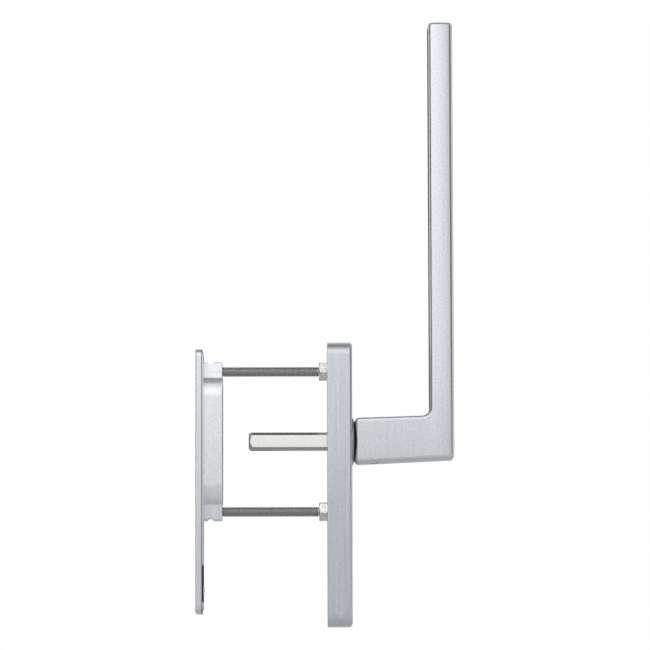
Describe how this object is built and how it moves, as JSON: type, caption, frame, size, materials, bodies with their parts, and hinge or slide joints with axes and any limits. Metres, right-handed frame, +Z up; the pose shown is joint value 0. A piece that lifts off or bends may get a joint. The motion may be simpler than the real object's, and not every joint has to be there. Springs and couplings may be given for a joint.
{
  "type": "lift and slide door handle",
  "caption": "Lever handle for a lift and slide door: a tall square grip on a thick inside plate, with a square spindle, threaded rods and an outside flush pull.",
  "frame": {"origin": "on the spindle's axis, in the face of the inside plate that lies on the door", "axes": "+X along the spindle into the room, +Z up along the grip at rest, Y across the plates"},
  "size_m": [0.147, 0.032, 0.3458],
  "materials": {
    "satin_aluminium": "satin anodised, finely brushed",
    "cast_alloy": "die cast, tumbled",
    "zinc_plated_steel": "bright zinc plate",
    "spring_steel": "oil blackened",
    "black_plastic": "moulded acetal",
    "black_rubber": "dense foam rubber"
  },
  "bodies": {
    "door_set": {"inner_cover": "satin_aluminium", "inner_base": "cast_alloy", "bearing_bush": "black_plastic", "spring_washer": "spring_steel", "collar_ring": "satin_aluminium", "slide_washer": "black_plastic", "upper_threaded_rod": "zinc_plated_steel", "lower_threaded_rod": "zinc_plated_steel", "upper_lock_nut": "zinc_plated_steel", "lower_lock_nut": "zinc_plated_steel", "upper_sleeve_nut": "zinc_plated_steel", "lower_sleeve_nut": "zinc_plated_steel", "outer_cover": "satin_aluminium", "flush_pull_casting": "cast_alloy", "locating_stud": "cast_alloy", "seat_pad": "black_rubber"},
    "lever": {"lever": "satin_aluminium", "square_spindle": "zinc_plated_steel", "spindle_grub_screw": "spring_steel", "thrust_washer": "zinc_plated_steel", "circlip": "spring_steel"}
  },
  "joints": [
    {"name": "lever_turn", "type": "hinge", "parent": "door_set", "child": "lever", "pos_m": [0, 0, 0], "axis": [1, 0, 0], "range_deg": [0, 180]}
  ]
}
